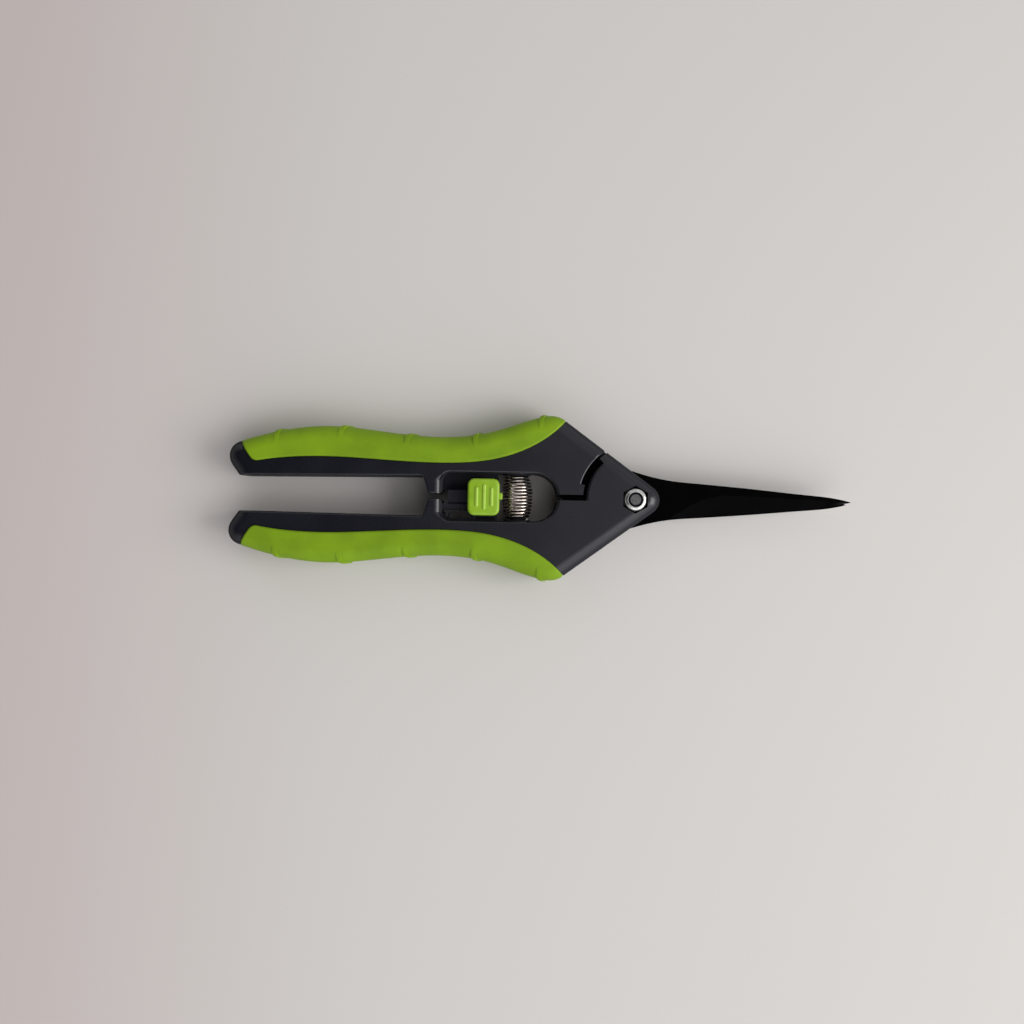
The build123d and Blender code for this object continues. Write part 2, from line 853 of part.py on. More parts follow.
def pivot_nut():
    """The hexagon nut with the rolled collar that holds its nylon ring."""
    hex_top = nut_seat + nut_hex_height
    body = hexagon(nut_flats, nut_seat, hex_top)
    crown = Pos(0, 0, (nut_seat + hex_top) / 2) * Cone(
        nut_flats / 2 * 1.62, nut_flats / 2 * 1.02, nut_hex_height
    )
    collar = rod(nut_collar_radius, hex_top, nut_top)
    collar = fillet(rim_edges(collar, nut_top), nut_collar_height / 4)
    return (body & crown) + collar - rod(bolt_radius, nut_seat - 1, nut_top + 1) - rod(
        nylon_radius, nut_top - nylon_height, nut_top + 1
    )


def nylon_ring():
    """The nylon ring that grips the bolt's end."""
    ring = rod(nylon_radius, nut_top - nylon_height, nut_top - nylon_drop)
    return ring - rod(bolt_radius, -half, nut_top + 1)


def return_spring():
    """The coil spring between the two seats."""
    length = 2 * spring_seat_y - spring_wire
    coil = Helix(length / spring_turns, length, spring_radius)
    start = Plane(origin=coil @ 0, z_dir=coil % 0)
    wire = sweep(start * Circle(spring_wire / 2), path=coil, is_frenet=True)
    return Pos(spring_x, -length / 2, 0) * Rot(-90, 0, 0) * wire


# ================================================================ the whole tool


def make_parts():
    """Every piece of the closed and locked snips, by node name, about the pivot."""
    upper_blade = blade(upper_blade_reach, bolt_radius + running_clearance)
    lower_blade = blade(lower_blade_reach, bolt_radius)
    upper_core = upper_handle_core(upper_blade)
    lower_core = lower_handle_core(lower_blade)
    form = grip_block()
    grip = form + grip_ridges(form) - upper_core - upper_blade
    return {
        "upper_handle_core": upper_core,
        "upper_grip": grip,
        "upper_handle_blade": upper_blade,
        "lower_handle_core": turned_over(lower_core),
        "lower_grip": turned_over(grip),
        "lower_handle_blade": turned_over(lower_blade),
        "pivot_bolt": pivot_bolt(),
        "pivot_nut": pivot_nut(),
        "nut_nylon_ring": nylon_ring(),
        "return_spring": return_spring(),
        "lock_slide": lock_slide(),
        "lock_button": lock_button(),
    }


def main():
    parts = make_parts()
    bounds = Compound(list(parts.values())).bounding_box()
    to_origin = Pos(-bounds.center().X, -bounds.center().Y, -bounds.min.Z)
    os.makedirs("parts", exist_ok=True)
    for name, solid in parts.items():
        export_step(to_origin * solid, f"parts/{name}.step")
    print("pivot at", [round(v, 3) for v in to_origin.position])
    print("size", [round(v, 2) for v in bounds.size])


main()
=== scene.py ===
"""Floral snips, dressed for looking at.

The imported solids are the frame. Their mouldings, grips and blades stay and get their finishes here.
The pieces whose looks a plain solid can't carry, which are the return spring, the locking nut with its
nylon ring and the lock's thumb button, are modelled here in their place. Lengths are in millimetres
where a name ends in _mm, and in metres elsewhere.
"""

from __future__ import annotations

import json
import logging
import math
from dataclasses import dataclass, field
from enum import Enum
from typing import Any, Callable, Mapping, Optional, Sequence, Union

import bmesh
import bpy
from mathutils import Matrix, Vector

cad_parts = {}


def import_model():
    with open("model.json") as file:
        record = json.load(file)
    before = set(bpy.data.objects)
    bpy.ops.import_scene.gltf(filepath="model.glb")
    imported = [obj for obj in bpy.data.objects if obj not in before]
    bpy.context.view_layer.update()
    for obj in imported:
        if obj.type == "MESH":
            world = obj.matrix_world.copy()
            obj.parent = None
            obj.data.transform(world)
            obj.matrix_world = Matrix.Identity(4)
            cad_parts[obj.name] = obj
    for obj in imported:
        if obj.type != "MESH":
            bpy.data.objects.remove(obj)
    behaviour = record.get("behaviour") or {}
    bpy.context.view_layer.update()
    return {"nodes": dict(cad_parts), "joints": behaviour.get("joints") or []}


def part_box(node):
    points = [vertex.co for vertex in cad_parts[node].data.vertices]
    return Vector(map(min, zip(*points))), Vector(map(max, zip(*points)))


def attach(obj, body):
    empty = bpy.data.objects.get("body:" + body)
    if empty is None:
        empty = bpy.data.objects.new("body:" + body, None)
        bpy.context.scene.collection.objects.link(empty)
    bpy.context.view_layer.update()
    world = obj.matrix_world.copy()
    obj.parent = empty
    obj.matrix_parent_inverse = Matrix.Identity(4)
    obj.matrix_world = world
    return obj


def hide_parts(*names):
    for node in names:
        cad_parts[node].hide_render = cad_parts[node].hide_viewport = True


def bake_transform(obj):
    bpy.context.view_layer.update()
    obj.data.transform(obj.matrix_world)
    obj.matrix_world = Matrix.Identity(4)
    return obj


LOG = logging.getLogger("floral_snips")
MM = 0.001

# The Mix node's colour sockets have no names of their own.
MIX_FIRST_COLOUR, MIX_SECOND_COLOUR, MIX_RESULT_COLOUR = 6, 7, 2
# The width of one ridge of the Wave texture's rings at a scale of 1.
RIDGE_AT_SCALE_1 = 0.16
# How near a face or an edge has to come to a direction, as a cosine, and to a height.
STRAIGHT = 0.99
SLACK_MM = 0.01
# The number of sides of a nut.
HEXAGON = 6

Colour = tuple[float, float, float, float]
Span = tuple[float, float]
Amount = Union[float, int, "Signal"]


def mm(*values: float) -> Vector:
    """Returns a vector in metres from three lengths in millimetres."""
    return Vector(value * MM for value in values)


def paint(red: float, green: float, blue: float) -> Colour:
    """Returns an opaque linear colour."""
    return (red, green, blue, 1.0)


# ---------------------------------------------------------------------------
# Shader graphs
# ---------------------------------------------------------------------------


class Layers(Enum):
    """How many finer layers a noise has, and how strong each is beside the one before it."""

    SMOOTH = (2.0, 0.5)
    BROAD = (3.0, 0.5)
    FINE = (2.0, 0.6)
    WORN = (3.0, 0.6)
    FIBROUS = (4.0, 0.6)


class Signal:
    """A number that changes over a surface, with Python's arithmetic on it."""

    def __init__(self, graph: "ShaderGraph", socket: bpy.types.NodeSocket) -> None:
        """Wraps one output socket.

        Args:
            graph: The graph that the socket belongs to.
            socket: The output socket.
        """
        self.graph = graph
        self.socket = socket

    def _with(self, operation: str, first: Amount, second: Amount) -> "Signal":
        """Returns the output of one Math node on two amounts."""
        maths = self.graph.node("ShaderNodeMath", {"operation": operation}, {0: first, 1: second})
        return Signal(self.graph, maths.outputs[0])

    def __add__(self, other: Amount) -> "Signal":
        """Returns this plus other."""
        return self._with("ADD", self, other)

    def __radd__(self, other: Amount) -> "Signal":
        """Returns other plus this."""
        return self._with("ADD", other, self)

    def __sub__(self, other: Amount) -> "Signal":
        """Returns this less other."""
        return self._with("SUBTRACT", self, other)

    def __rsub__(self, other: Amount) -> "Signal":
        """Returns other less this."""
        return self._with("SUBTRACT", other, self)

    def __mul__(self, other: Amount) -> "Signal":
        """Returns this times other."""
        return self._with("MULTIPLY", self, other)

    def __rmul__(self, other: Amount) -> "Signal":
        """Returns other times this."""
        return self._with("MULTIPLY", other, self)

    def __pow__(self, power: Amount) -> "Signal":
        """Returns this to a power."""
        return self._with("POWER", self, power)

    def __abs__(self) -> "Signal":
        """Returns this without its sign."""
        return self._with("ABSOLUTE", self, 0.0)

    def sway(self, width: float, middle: float = 0.5) -> "Signal":
        """Returns this swung about zero, with a width for its whole range from 0 to 1."""
        return width * (self - middle)

    def ramp(self, low: float, high: float) -> "Signal":
        """Returns a smooth step from 0 at low to 1 at high.

        Args:
            low: The value where the step starts.
            high: The value where it ends. It may be below low.

        Returns:
            A signal from 0 to 1.
        """
        step = self.graph.node(
            "ShaderNodeMapRange",
            {"interpolation_type": "SMOOTHSTEP"},
            {"Value": self, "From Min": low, "From Max": high, "To Min": 0.0, "To Max": 1.0},
        )
        return Signal(self.graph, step.outputs["Result"])


class ShaderGraph:
    """The node tree of one material or world, and the only place where nodes are made."""

    def __init__(self, name: str, world: bool = False) -> None:
        """Starts an empty material or world.

        Args:
            name: Its name.
            world: Whether it is a world.
        """
        self.owner = (bpy.data.worlds if world else bpy.data.materials).new(name)
        self.owner.use_nodes = True
        self.tree = self.owner.node_tree
        self.tree.nodes.clear()
        self._place: Optional[bpy.types.Node] = None

    def node(
        self,
        kind: str,
        settings: Optional[Mapping[str, Any]] = None,
        sockets: Optional[Mapping[Union[str, int], Any]] = None,
    ) -> bpy.types.Node:
        """Makes one node, sets it up and feeds its sockets.

        Args:
            kind: The node's type.
            settings: Properties of the node, set before its sockets are read.
            sockets: Socket names or numbers, each with a value, a signal or an output socket.

        Returns:
            The node.
        """
        made = self.tree.nodes.new(kind)
        for key, value in (settings or {}).items():
            setattr(made, key, value)
        for key, value in (sockets or {}).items():
            socket = made.inputs[key]
            if isinstance(value, Signal):
                self.tree.links.new(value.socket, socket)
            elif isinstance(value, bpy.types.NodeSocket):
                self.tree.links.new(value, socket)
            else:
                socket.default_value = value
        return made

    def place(self) -> bpy.types.NodeSocket:
        """Returns the object coordinates, in metres, of the point being shaded."""
        if self._place is None:
            self._place = self.node("ShaderNodeTexCoord")
        return self._place.outputs["Object"]

    def axis(self, letter: str) -> Signal:
        """Returns one object coordinate in millimetres, by its letter X, Y or Z."""
        split = self.node("ShaderNodeSeparateXYZ", sockets={"Vector": self.place()})
        return Signal(self, split.outputs[letter]) * (1 / MM)

    def radius(self, centre: Vector) -> Signal:
        """Returns the distance in millimetres from an upright axis through a point."""
        across = self.axis("X") - centre.x / MM
        along = self.axis("Y") - centre.y / MM
        return (across * across + along * along) ** 0.5

    def mapped(
        self,
        stretch: Sequence[float] = (1, 1, 1),
        centre: Sequence[float] = (0, 0, 0),
    ) -> bpy.types.NodeSocket:
        """Returns object coordinates in millimetres about a centre, stretched along the axes.

        Args:
            stretch: How much finer the pattern is along each axis.
            centre: The pattern's centre, in metres.

        Returns:
            The output socket with the coordinates.
        """
        away = self.node(
            "ShaderNodeVectorMath",
            {"operation": "SUBTRACT"},
            {0: self.place(), 1: tuple(centre)},
        )
        laid = self.node(
            "ShaderNodeMapping",
            sockets={
                "Vector": away.outputs[0],
                "Scale": tuple(share / MM for share in stretch),
            },
        )
        return laid.outputs[0]

    def noise(
        self,
        size_mm: float,
        layers: Layers,
        where: Optional[bpy.types.NodeSocket] = None,
    ) -> Signal:
        """Returns soft noise from 0 to 1.

        Args:
            size_mm: About how large its blotches are.
            layers: Its finer layers.
            where: Coordinates in millimetres, or none for the object's own.

        Returns:
            The noise.
        """
        detail, roughness = layers.value
        made = self.node(
            "ShaderNodeTexNoise",
            {"noise_dimensions": "3D"},
            {
                "Vector": where or self.mapped(),
                "Scale": 1.0 / size_mm,
                "Detail": detail,
                "Roughness": roughness,
            },
        )
        return Signal(self, made.outputs["Fac"])

    def blend(self, share: Amount, first: Any, second: Any) -> bpy.types.NodeSocket:
        """Mixes two colours.

        Args:
            share: 0 for the first colour, 1 for the second.
            first: A colour or a colour output.
            second: A colour or a colour output.

        Returns:
            The mixed colour's output socket.
        """
        mixed = self.node(
            "ShaderNodeMix",
            {"data_type": "RGBA"},
            {"Factor": share, MIX_FIRST_COLOUR: first, MIX_SECOND_COLOUR: second},
        )
        return mixed.outputs[MIX_RESULT_COLOUR]

    def bump(self, height: Signal, depth_mm: float, strength: float) -> bpy.types.NodeSocket:
        """Returns a normal that is bent by a height.

        Args:
            height: The height, from 0 to 1.
            depth_mm: How tall a height of 1 is.
            strength: The bump's strength.

        Returns:
            The normal's output socket.
        """
        bent = self.node(
            "ShaderNodeBump",
            sockets={"Height": height, "Distance": depth_mm * MM, "Strength": strength},
        )
        return bent.outputs["Normal"]

    def finish(self, **surface: Any) -> bpy.types.Material:
        """Closes the graph with a Principled shader.

        Args:
            **surface: The shader's sockets, with spaces as underscores.

        Returns:
            The finished material.
        """
        shader = self.node(
            "ShaderNodeBsdfPrincipled",
            sockets={key.replace("_", " "): value for key, value in surface.items()},
        )
        self.node("ShaderNodeOutputMaterial", sockets={"Surface": shader.outputs[0]})
        return self.owner

    def surround(self, colour: Colour, strength: Amount) -> bpy.types.World:
        """Closes a world's graph with one colour of light.

        Args:
            colour: The light's colour.
            strength: How bright it is in each direction.

        Returns:
            The finished world.
        """
        light = self.node("ShaderNodeBackground", sockets={"Color": colour, "Strength": strength})
        self.node("ShaderNodeOutputWorld", sockets={"Surface": light.outputs[0]})
        return self.owner

    def facing(self, heading: Vector) -> Signal:
        """Returns how closely a world's directions keep to one heading.

        Args:
            heading: The heading.

        Returns:
            The cosine of the angle between the two.
        """
        cosine = self.node(
            "ShaderNodeVectorMath",
            {"operation": "DOT_PRODUCT"},
            {0: self.node("ShaderNodeTexCoord").outputs["Generated"], 1: heading.normalized()},
        )
        return Signal(self, cosine.outputs["Value"])


# ---------------------------------------------------------------------------
# Finishes
# ---------------------------------------------------------------------------


@dataclass(frozen=True)
class MouldedPlastic:
    """Charcoal plastic out of a spark-eroded mould, coarser on its sides than on its flat faces."""

    name: str = "charcoal_plastic"
    light: Colour = paint(0.0062, 0.0066, 0.0118)
    dark: Colour = paint(0.0042, 0.0045, 0.0086)
    colour_span: Span = (0.3, 0.7)
    roughness: float = 0.27
    side_roughness: float = 0.95
    side_from_mm: float = 1.6
    side_to_mm: float = 0.4
    flow_mm: float = 14.0
    flow_gloss: float = 0.08
    grain_mm: float = 0.22
    grain_gloss: float = 0.10
    grain_depth_mm: float = 0.006
    grain_strength: float = 0.5
    specular: float = 0.5
    ior: float = 1.48

    def material(self, low: float, high: float) -> bpy.types.Material:
        """Builds the material.

        Args:
            low: The height of the piece's lower flat face, in metres.
            high: The height of its upper flat face, in metres.

        Returns:
            The material.
        """
        graph = ShaderGraph(self.name)
        middle, half = (low + high) / 2 / MM, (high - low) / 2 / MM
        away = abs(graph.axis("Z") - middle)
        side = 1 - away.ramp(half - self.side_from_mm, half - self.side_to_mm)
        flow = graph.noise(self.flow_mm, Layers.BROAD)
        grain = graph.noise(self.grain_mm, Layers.FINE)
        smooth = self.roughness + grain.sway(self.grain_gloss) + flow.sway(self.flow_gloss)
        return graph.finish(
            Base_Color=graph.blend(flow.ramp(*self.colour_span), self.dark, self.light),
            Roughness=smooth + (self.side_roughness - self.roughness) * side,
            Normal=graph.bump(grain, self.grain_depth_mm, self.grain_strength),
            Specular_IOR_Level=self.specular,
            IOR=self.ior,
        )


@dataclass(frozen=True)
class SoftGrip:
    """Leaf-green soft rubber moulded over the handles."""

    name: str = "green_grip_rubber"
    light: Colour = paint(0.182, 0.312, 0.0045)
    dark: Colour = paint(0.142, 0.248, 0.0035)
    colour_span: Span = (0.25, 0.75)
    roughness: float = 0.58
    flow_mm: float = 9.0
    grain_mm: float = 0.18
    grain_gloss: float = 0.12
    grain_depth_mm: float = 0.010
    grain_strength: float = 0.5
    specular: float = 0.26
    ior: float = 1.47

    def material(self) -> bpy.types.Material:
        """Returns the material."""
        graph = ShaderGraph(self.name)
        flow = graph.noise(self.flow_mm, Layers.BROAD)
        grain = graph.noise(self.grain_mm, Layers.FINE)
        return graph.finish(
            Base_Color=graph.blend(flow.ramp(*self.colour_span), self.dark, self.light),
            Roughness=self.roughness + grain.sway(self.grain_gloss),
            Normal=graph.bump(grain, self.grain_depth_mm, self.grain_strength),
            Specular_IOR_Level=self.specular,
            IOR=self.ior,
        )


@dataclass(frozen=True)
class BladeCoat:
    """Thin black non-stick coating over ground steel."""

    name: str = "black_blade_coating"
    light: Colour = paint(0.0009, 0.0009, 0.0012)
    dark: Colour = paint(0.0004, 0.0004, 0.0006)
    colour_span: Span = (0.3, 0.75)
    roughness: float = 0.22
    cloud_mm: float = 5.0
    cloud_gloss: float = 0.08
    scratch_mm: float = 0.12
    scratch_stretch: tuple[float, float, float] = (0.04, 1.0, 1.0)
    scratch_gloss: float = 0.12
    scratch_depth_mm: float = 0.004
    scratch_strength: float = 0.25
    specular: float = 0.018
    ior: float = 1.5

    def material(self) -> bpy.types.Material:
        """Returns the material."""
        graph = ShaderGraph(self.name)
        brushed = graph.noise(self.scratch_mm, Layers.WORN, graph.mapped(self.scratch_stretch))
        cloud = graph.noise(self.cloud_mm, Layers.BROAD)
        return graph.finish(
            Base_Color=graph.blend(cloud.ramp(*self.colour_span), self.dark, self.light),
            Roughness=self.roughness + brushed.sway(self.scratch_gloss) + cloud.sway(self.cloud_gloss),
            Normal=graph.bump(brushed, self.scratch_depth_mm, self.scratch_strength),
            Specular_IOR_Level=self.specular,
            IOR=self.ior,
        )


@dataclass(frozen=True)
class BrightSteel:
    """Zinc-plated steel of the pivot's nut, with painted shade on its corners where it sits in its pocket.
    """

    name: str = "bright_zinc_steel"
    light: Colour = paint(0.72, 0.72, 0.69)
    dark: Colour = paint(0.42, 0.43, 0.44)
    colour_span: Span = (0.3, 0.7)
    # Painted shade: the nut's corners beyond its turned chamfer are painted near black, standing in for the
    # shade deep in its pocket.
    nut_pocket_shade: Colour = paint(0.010, 0.010, 0.010)
    nut_pocket_shade_span_mm: Span = (3.36, 3.52)
    roughness: float = 0.24
    cloud_mm: float = 0.9
    cloud_gloss: float = 0.16
    cloud_middle: float = 0.4
    turning_mm: float = 0.09
    turning_waver: float = 1.6
    turning_detail: float = 2.0
    turning_depth_mm: float = 0.006
    turning_strength: float = 0.35

    def material(self, centre: Vector) -> bpy.types.Material:
        """Builds the material.

        Args:
            centre: A point on the axis that the pieces were turned about.

        Returns:
            The material.
        """
        graph = ShaderGraph(self.name)
        rings = graph.node(
            "ShaderNodeTexWave",
            {"wave_type": "RINGS", "rings_direction": "Z", "wave_profile": "SIN"},
            {
                "Vector": graph.mapped(centre=centre),
                "Scale": RIDGE_AT_SCALE_1 / self.turning_mm,
                "Distortion": self.turning_waver,
                "Detail": self.turning_detail,
            },
        )
        turned = Signal(graph, rings.outputs["Fac"])
        cloud = graph.noise(self.cloud_mm, Layers.WORN)
        metal = graph.blend(cloud.ramp(*self.colour_span), self.dark, self.light)
        # Painted shade on the nut outside its turned chamfer, where the pocket shades it.
        shaded_corners = graph.radius(centre).ramp(*self.nut_pocket_shade_span_mm)
        return graph.finish(
            Base_Color=graph.blend(shaded_corners, metal, self.nut_pocket_shade),
            Metallic=1.0,
            Roughness=self.roughness + cloud.sway(self.cloud_gloss, self.cloud_middle),
            Normal=graph.bump(turned, self.turning_depth_mm, self.turning_strength),
        )


@dataclass(frozen=True)
class ThreadedSteel:
    """Duller steel of the bolt, with painted shade on its chamfered end where its thread runs out."""

    name: str = "bolt_steel"
    light: Colour = paint(0.20, 0.20, 0.20)
    dark: Colour = paint(0.11, 0.11, 0.115)
    colour_span: Span = (0.3, 0.7)
    # Painted shade: the rim of the bolt's upper end is painted dark, standing in for the shade on its
    # chamfer.
    painted_edge_shade: Colour = paint(0.020, 0.020, 0.034)
    edge_shade_span_mm: Span = (1.50, 1.64)
    upper_end_mm: float = 1.0
    roughness: float = 0.30
    cloud_mm: float = 0.5
    cloud_gloss: float = 0.2
    cloud_depth_mm: float = 0.02
    cloud_strength: float = 0.4

    def material(self, centre: Vector) -> bpy.types.Material:
        """Builds the material.

        Args:
            centre: A point on the bolt's axis, halfway up, above which its chamfered rim gets painted
                shade.

        Returns:
            The material.
        """
        graph = ShaderGraph(self.name)
        # Painted shade on the bolt's outer rim, above its middle.
        thread = graph.radius(centre).ramp(*self.edge_shade_span_mm)
        end = graph.axis("Z").ramp(centre.z / MM, centre.z / MM + self.upper_end_mm)
        cloud = graph.noise(self.cloud_mm, Layers.WORN)
        worn = graph.blend(cloud.ramp(*self.colour_span), self.dark, self.light)
        return graph.finish(
            Base_Color=graph.blend(thread * end, worn, self.painted_edge_shade),
            Metallic=1.0,
            Roughness=self.roughness + cloud.sway(self.cloud_gloss),
            Normal=graph.bump(cloud, self.cloud_depth_mm, self.cloud_strength),
        )


@dataclass(frozen=True)
class NylonInsert:
    """Dark blue nylon of the nut's locking ring."""

    name: str = "blue_nylon"
    body: Colour = paint(0.010, 0.012, 0.034)
    # In the nylon this is its own rubbed wear, not light.
    wear_and_highlight: Colour = paint(0.022, 0.022, 0.050)
    colour_span: Span = (0.4, 0.8)
    roughness: float = 0.35
    rub_mm: float = 0.5
    rub_gloss: float = 0.2
    rub_depth_mm: float = 0.02
    rub_strength: float = 0.4

    def material(self) -> bpy.types.Material:
        """Returns the material."""
        graph = ShaderGraph(self.name)
        rub = graph.noise(self.rub_mm, Layers.WORN)
        return graph.finish(
            Base_Color=graph.blend(rub.ramp(*self.colour_span), self.body, self.wear_and_highlight),
            Roughness=self.roughness + rub.sway(self.rub_gloss),
            Normal=graph.bump(rub, self.rub_depth_mm, self.rub_strength),
        )


@dataclass(frozen=True)
class SpringWire:
    """Bright drawn spring wire, a little warm in colour."""

    name: str = "spring_wire_steel"
    light: Colour = paint(0.80, 0.72, 0.66)
    dark: Colour = paint(0.42, 0.37, 0.34)
    colour_span: Span = (0.3, 0.7)
    roughness: float = 0.22
    cloud_mm: float = 2.2
    drawn_mm: float = 0.35
    drawn_gloss: float = 0.2
    drawn_depth_mm: float = 0.006
    drawn_strength: float = 0.3

    def material(self) -> bpy.types.Material:
        """Returns the material."""
        graph = ShaderGraph(self.name)
        drawn = graph.noise(self.drawn_mm, Layers.WORN)
        cloud = graph.noise(self.cloud_mm, Layers.SMOOTH)
        return graph.finish(
            Base_Color=graph.blend(cloud.ramp(*self.colour_span), self.dark, self.light),
            Metallic=1.0,
            Roughness=self.roughness + drawn.sway(self.drawn_gloss),
            Normal=graph.bump(drawn, self.drawn_depth_mm, self.drawn_strength),
        )


@dataclass(frozen=True)
class ButtonPlastic:
    """Smooth light green plastic of the thumb button, with a painted highlight that makes its ribs paler.
    """

    name: str = "green_button_plastic"
    # Painted highlight: the paler colour on the rib tops stands in for light catching them.
    wear_and_highlight: Colour = paint(0.325, 0.505, 0.058)
    light: Colour = paint(0.245, 0.420, 0.017)
    dark: Colour = paint(0.210, 0.365, 0.013)
    colour_span: Span = (0.3, 0.7)
    highlight_above_mm: Span = (0.05, 0.2)
    roughness: float = 0.34
    flow_mm: float = 3.0
    grain_mm: float = 0.16
    grain_gloss: float = 0.1
    grain_depth_mm: float = 0.006
    grain_strength: float = 0.4
    ior: float = 1.48

    def material(self, face_height: float) -> bpy.types.Material:
        """Builds the material.

        Args:
            face_height: The height of the button's face, above which its ribs stand, in metres.

        Returns:
            The material.
        """
        graph = ShaderGraph(self.name)
        flow = graph.noise(self.flow_mm, Layers.BROAD)
        grain = graph.noise(self.grain_mm, Layers.FINE)
        start, full = (face_height / MM + above for above in self.highlight_above_mm)
        body = graph.blend(flow.ramp(*self.colour_span), self.dark, self.light)
        return graph.finish(
            # Painted highlight on everything that stands above the button's face, which is its ribs.
            Base_Color=graph.blend(graph.axis("Z").ramp(start, full), body, self.wear_and_highlight),
            Roughness=self.roughness + grain.sway(self.grain_gloss),
            Normal=graph.bump(grain, self.grain_depth_mm, self.grain_strength),
            IOR=self.ior,
        )


@dataclass(frozen=True)
class TablePaper:
    """Plain pale paper on the table, with painted shade and a painted pink wall light at its left end, and
    a little painted shade towards its right.
    """

    name: str = "table_paper"
    # Painted light: the paper is brightest in the middle, painted darker towards both ends for the light's
    # fall-off, and pinker at the left for the pink wall light.
    right_shade: Colour = paint(0.534, 0.516, 0.504)
    middle: Colour = paint(0.568, 0.548, 0.536)
    left_shade_and_tint: Colour = paint(0.530, 0.470, 0.464)
    right_shade_span_mm: Span = (-60.0, 220.0)
    left_shade_span_mm: Span = (-200.0, -40.0)
    roughness: float = 0.75
    fibre_mm: float = 0.6
    fibre_gloss: float = 0.06
    fibre_depth_mm: float = 0.01
    fibre_strength: float = 0.3

    def material(self) -> bpy.types.Material:
        """Returns the material."""
        graph = ShaderGraph(self.name)
        across = graph.axis("X")
        fibre = graph.noise(self.fibre_mm, Layers.FIBROUS)
        # Painted shade and painted pink wall light towards the left end, then painted shade towards the
        # right.
        left_shaded_paper = graph.blend(across.ramp(*self.left_shade_span_mm), self.left_shade_and_tint, self.middle)
        return graph.finish(
            Base_Color=graph.blend(across.ramp(*self.right_shade_span_mm), left_shaded_paper, self.right_shade),
            Roughness=self.roughness + fibre.sway(self.fibre_gloss),
            Normal=graph.bump(fibre, self.fibre_depth_mm, self.fibre_strength),
        )


# ---------------------------------------------------------------------------
# The modelling bench
# ---------------------------------------------------------------------------


class Part(Enum):
    """What a selection on the bench is made of."""

    FACES = "FACE"
    EDGES = "EDGE"


class Bench:
    """Modelling with the operators that are used by hand."""

    @staticmethod
    def add(operator: Callable[..., Any], name: str, **settings: Any) -> bpy.types.Object:
        """Adds a primitive with its place already in its mesh.

        Args:
            operator: One of bpy.ops.mesh's primitive operators.
            name: The piece's name.
            **settings: The operator's settings.

        Returns:
            The new object, alone in the selection.
        """
        bpy.ops.object.select_all(action="DESELECT")
        operator(**settings)
        piece = bpy.context.object
        piece.name = piece.data.name = name
        Bench.settle()
        return piece

    @staticmethod
    def settle() -> None:
        """Puts the selected pieces' places into their meshes."""
        bpy.ops.object.transform_apply(location=True, rotation=True, scale=True)

    @staticmethod
    def only(piece: bpy.types.Object) -> None:
        """Makes a piece the only one selected, and active."""
        bpy.ops.object.select_all(action="DESELECT")
        piece.select_set(True)
        bpy.context.view_layer.objects.active = piece

    @classmethod
    def edit(
        cls, piece: bpy.types.Object, part: Part, wanted: Callable[[Any], bool], *steps: Callable[[], Any]
    ) -> None:
        """Selects some of a piece and runs operators on the selection.

        Args:
            piece: The piece.
            part: Whether faces or edges are selected.
            wanted: Says of a face or an edge whether it is selected.
            *steps: The operator calls, in order.
        """
        cls.only(piece)
        bpy.ops.object.mode_set(mode="EDIT")
        bpy.ops.mesh.select_mode(type=part.value)
        bpy.ops.mesh.select_all(action="DESELECT")
        shell = bmesh.from_edit_mesh(piece.data)
        for element in shell.faces if part is Part.FACES else shell.edges:
            if wanted(element):
                element.select_set(True)
        bmesh.update_edit_mesh(piece.data)
        for step in steps:
            step()
        bpy.ops.object.mode_set(mode="OBJECT")

    @classmethod
    def modify(cls, piece: bpy.types.Object, kind: str, **settings: Any) -> None:
        """Adds one modifier and applies it.

        Args:
            piece: The piece.
            kind: The modifier's type.
            **settings: The modifier's settings.
        """
        cls.only(piece)
        modifier = piece.modifiers.new(kind.lower(), kind)
        for key, value in settings.items():
            setattr(modifier, key, value)
        bpy.ops.object.modifier_apply(modifier=modifier.name)

    @classmethod
    def round(cls, piece: bpy.types.Object, radius: float, segments: int, angle: float) -> None:
        """Rounds a piece's edges.

        Args:
            piece: The piece.
            radius: The radius of the edges, in metres.
            segments: How many faces each round has.
            angle: How sharp an edge has to be, in radians.
        """
        cls.modify(
            piece, "BEVEL", width=radius, segments=segments, limit_method="ANGLE", angle_limit=angle
        )

    @classmethod
    def cut(cls, piece: bpy.types.Object, tool: bpy.types.Object, operation: str) -> None:
        """Cuts, joins or crosses a piece with a tool, which is used up.

        Args:
            piece: The piece.
            tool: The tool.
            operation: DIFFERENCE, UNION or INTERSECT.
        """
        cls.modify(piece, "BOOLEAN", operation=operation, object=tool, solver="EXACT")
        bpy.data.objects.remove(tool)

    @classmethod
    def gather(cls, piece: bpy.types.Object, extras: Sequence[bpy.types.Object]) -> None:
        """Takes other pieces into a piece as shells of its mesh.

        Args:
            piece: The piece.
            extras: The other pieces, which are used up.
        """
        cls.only(piece)
        for extra in extras:
            extra.select_set(True)
        bpy.ops.object.join()

    @classmethod
    def smooth(cls, piece: bpy.types.Object, degrees: float = 35.0) -> None:
        """Shades a piece smooth, except over edges that are sharper than an angle."""
        cls.only(piece)
        bpy.ops.object.shade_smooth_by_angle(angle=math.radians(degrees))


def is_level(height: float) -> Callable[[Any], bool]:
    """Returns a test for faces that look straight up at a height."""
    return lambda face: (
        face.normal.z > STRAIGHT and abs(face.calc_center_median().z - height) < SLACK_MM * MM
    )


def is_upright(edge: Any) -> bool:
    """Returns whether an edge stands straight up."""
    first, second = (vertex.co for vertex in edge.verts)
    return abs(first.z - second.z) > STRAIGHT * (first - second).length


def give(piece: bpy.types.Object, material: bpy.types.Material) -> None:
    """Puts one material on the whole of a piece."""
    piece.data.materials.clear()
    piece.data.materials.append(material)


# ---------------------------------------------------------------------------
# Sub-assemblies
# ---------------------------------------------------------------------------


